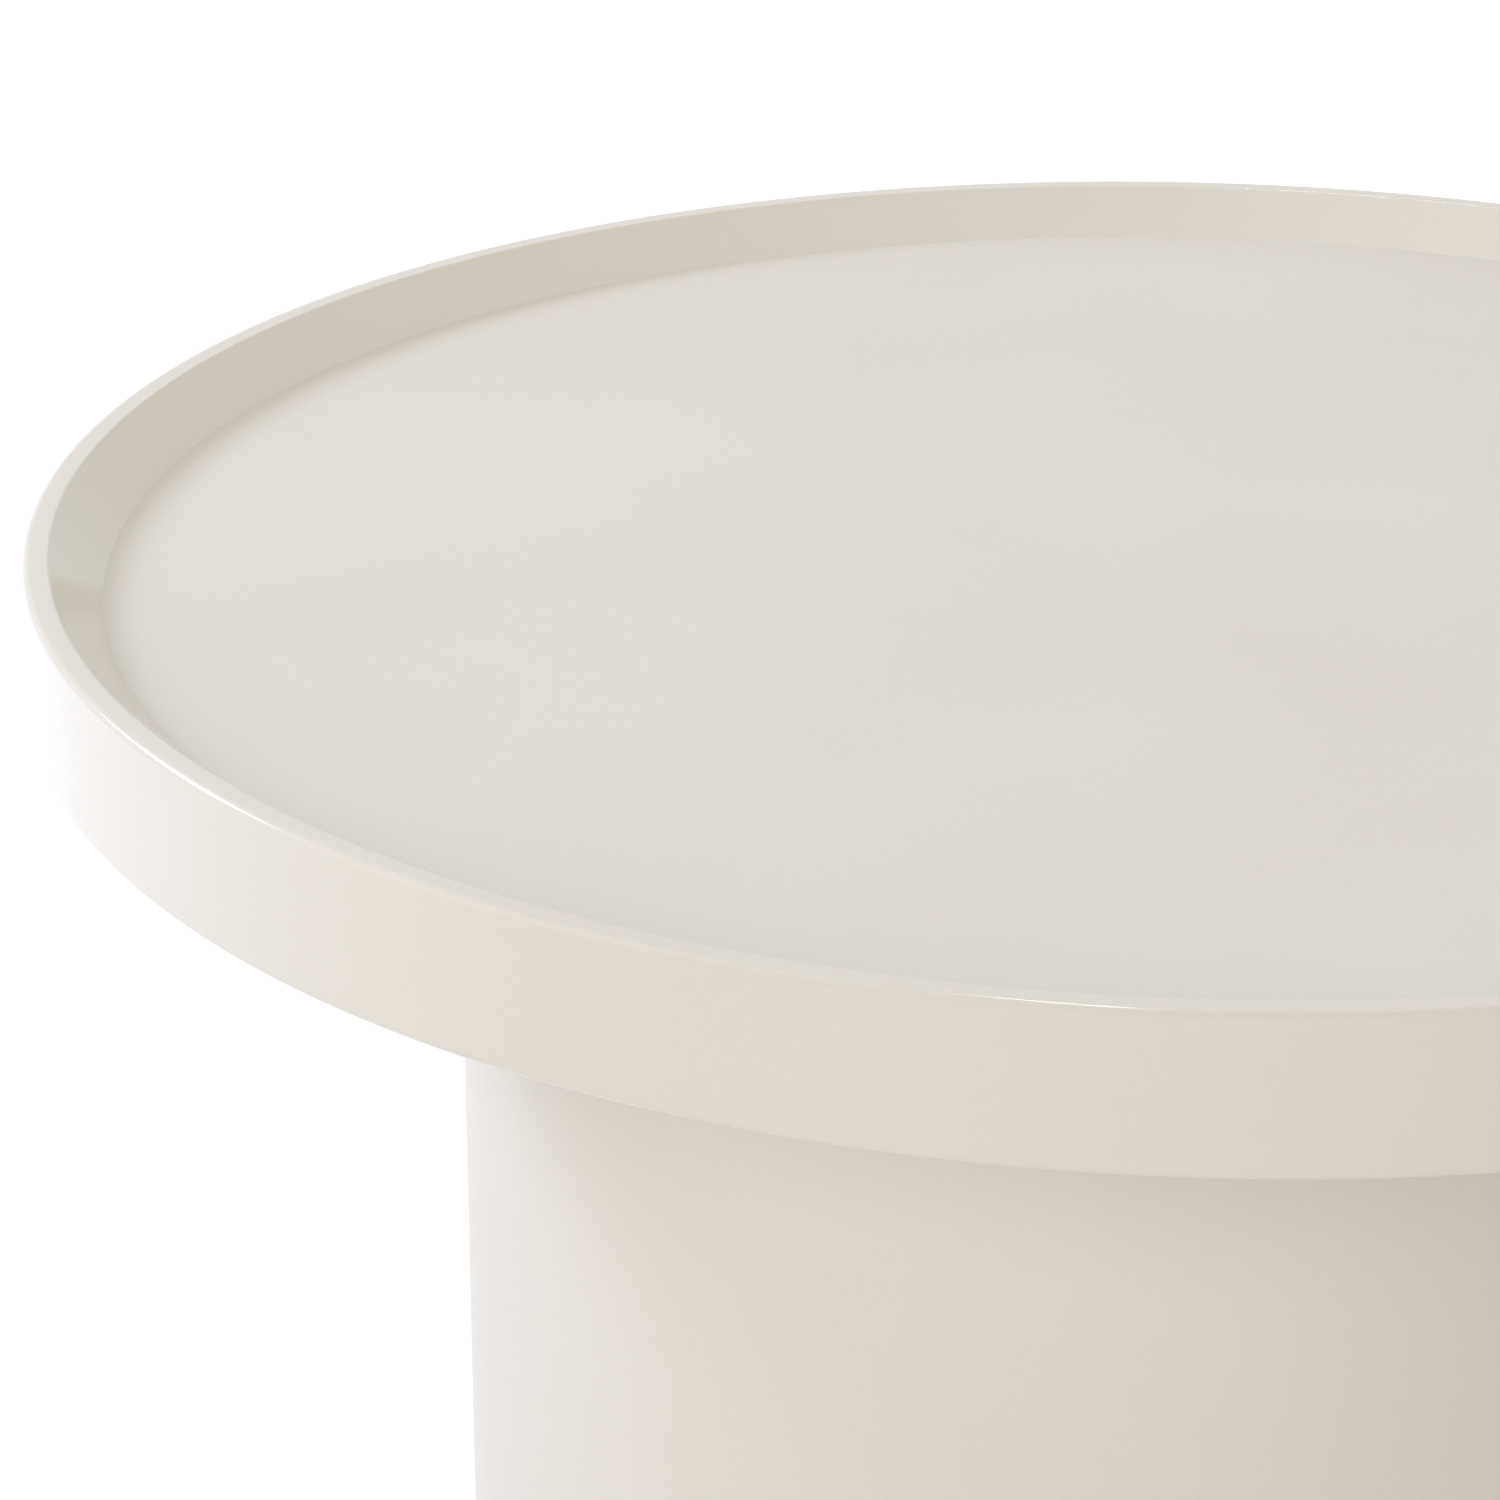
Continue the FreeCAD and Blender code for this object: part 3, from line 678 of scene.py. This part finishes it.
def seen_as_background(owner):
    """1 for a ray from the camera, a reflection or a clear piece, and 0 for one that carries light."""
    ray = add_node(owner, "ShaderNodeLightPath", {}).outputs
    direct = add_node(owner, "ShaderNodeMath", {
        0: ray["Is Camera Ray"], 1: ray["Is Glossy Ray"],
    }, operation="MAXIMUM").outputs[0]
    return add_node(owner, "ShaderNodeMath", {
        0: direct, 1: ray["Is Transmission Ray"],
    }, operation="MAXIMUM").outputs[0]


paper = new_material("white_studio_floor")
place = add_node(paper, "ShaderNodeTexCoord", {}).outputs["Object"]
from_table = add_node(paper, "ShaderNodeVectorMath", {0: place}, operation="LENGTH").outputs["Value"]
full_lift = add_node(paper, "ShaderNodeMapRange", {
    "Value": from_table, "From Min": NEAR_RADIUS, "From Max": FAR_RADIUS,
    "To Min": NEAR_LIFT, "To Max": FAR_LIFT,
}).outputs["Result"]
lift = add_node(paper, "ShaderNodeMath", {
    0: seen_as_background(paper), 1: full_lift,
}, operation="MULTIPLY").outputs[0]
paper_diffuse = add_node(paper, "ShaderNodeBsdfDiffuse", {"Color": linear(FLOOR_WHITE)}).outputs["BSDF"]
paper_glow = add_node(paper, "ShaderNodeEmission", {
    "Color": linear(ROOM_WHITE), "Strength": lift,
}).outputs["Emission"]
paper_surface = add_node(paper, "ShaderNodeAddShader", {0: paper_diffuse, 1: paper_glow}).outputs["Shader"]
add_node(paper, "ShaderNodeOutputMaterial", {"Surface": paper_surface})
floor_mesh.materials.append(paper)
floor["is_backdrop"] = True

world = bpy.data.worlds.new("white_room")
bpy.context.scene.world = world
world.use_nodes = True
world.node_tree.nodes.clear()
room = add_node(world, "ShaderNodeBackground", {
    "Color": linear(ROOM_WHITE), "Strength": ROOM_LIGHT,
}).outputs["Background"]
backdrop = add_node(world, "ShaderNodeBackground", {
    "Color": linear(ROOM_WHITE), "Strength": 1.0,
}).outputs["Background"]
sky = add_node(world, "ShaderNodeMixShader", {
    0: seen_as_background(world), 1: room, 2: backdrop,
}).outputs["Shader"]
add_node(world, "ShaderNodeOutputWorld", {"Surface": sky})

DAYLIGHT = "#DDE5FF"
WARM_WHITE = "#FFFDF8"
WARMER_WHITE = "#FFFDE6"
LIGHT_AIM = (0, 0, 0.45)


def soft_lamp(name, turn, lift, distance, width, height, watts, colour, mirrored):
    """Rectangular lamp that faces the tray from a turn about it and a lift above it, both in degrees.

    Reflections show it only where it is mirrored.
    """
    lamp = bpy.data.lights.new(name, "AREA")
    lamp.shape = "RECTANGLE"
    lamp.size = width
    lamp.size_y = height
    lamp.energy = watts
    lamp.color = linear(colour)[:3]
    turn, lift = np.radians([turn, lift])
    away = Vector((np.cos(lift) * np.cos(turn), np.cos(lift) * np.sin(turn), np.sin(lift)))
    holder = bpy.data.objects.new(name, lamp)
    holder.visible_glossy = mirrored
    holder.location = Vector(LIGHT_AIM) + distance * away
    holder.rotation_euler = away.to_track_quat("Z", "Y").to_euler()
    bpy.context.scene.collection.objects.link(holder)


# The window stands a little behind the table, so that the rim shades the tray floor beside it. The softboxes
# fill in from the front, the ceiling and behind, and the narrow strip gives the rim its short glint.
soft_lamp("window_light", turn=154, lift=28, distance=2.5, width=0.9, height=0.54,
          watts=38.5, colour=DAYLIGHT, mirrored=True)
soft_lamp("front_softbox", turn=245, lift=20, distance=2.4, width=3.2, height=1.2,
          watts=30, colour=WARM_WHITE, mirrored=False)
soft_lamp("ceiling_softbox", turn=270, lift=72, distance=2.3, width=2.6, height=2.0,
          watts=12.1, colour=WARM_WHITE, mirrored=False)
soft_lamp("back_softbox", turn=30, lift=20, distance=2.3, width=1.8, height=1.2,
          watts=11, colour=WARMER_WHITE, mirrored=False)
soft_lamp("overhead_strip", turn=98, lift=72.5, distance=1.68, width=0.05, height=0.6,
          watts=2.7, colour=WARM_WHITE, mirrored=True)


# Camera
# Placed where the photograph was taken from: above and in front, a little left of the table's axis, with a
# long lens. The place and the lens come from the ellipses of the rim in a frame 1500 pixels wide.
FRAME_PIXELS = 1500
FOCAL_PIXELS = 5135.4
SENSOR_WIDTH = 36.0
CAMERA_PLACE = (-0.0949, -1.0418, 0.8319)
CAMERA_DIP = np.radians(22.805)
camera_data = bpy.data.cameras.new("camera")
camera_data.sensor_width = SENSOR_WIDTH
camera_data.lens = FOCAL_PIXELS / FRAME_PIXELS * SENSOR_WIDTH
camera = bpy.data.objects.new("camera", camera_data)
camera.location = CAMERA_PLACE
camera.rotation_euler = (np.pi / 2 - CAMERA_DIP, 0, 0)
bpy.context.scene.collection.objects.link(camera)
bpy.context.scene.camera = camera
bpy.context.scene.view_settings.view_transform = "Standard"

low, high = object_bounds()
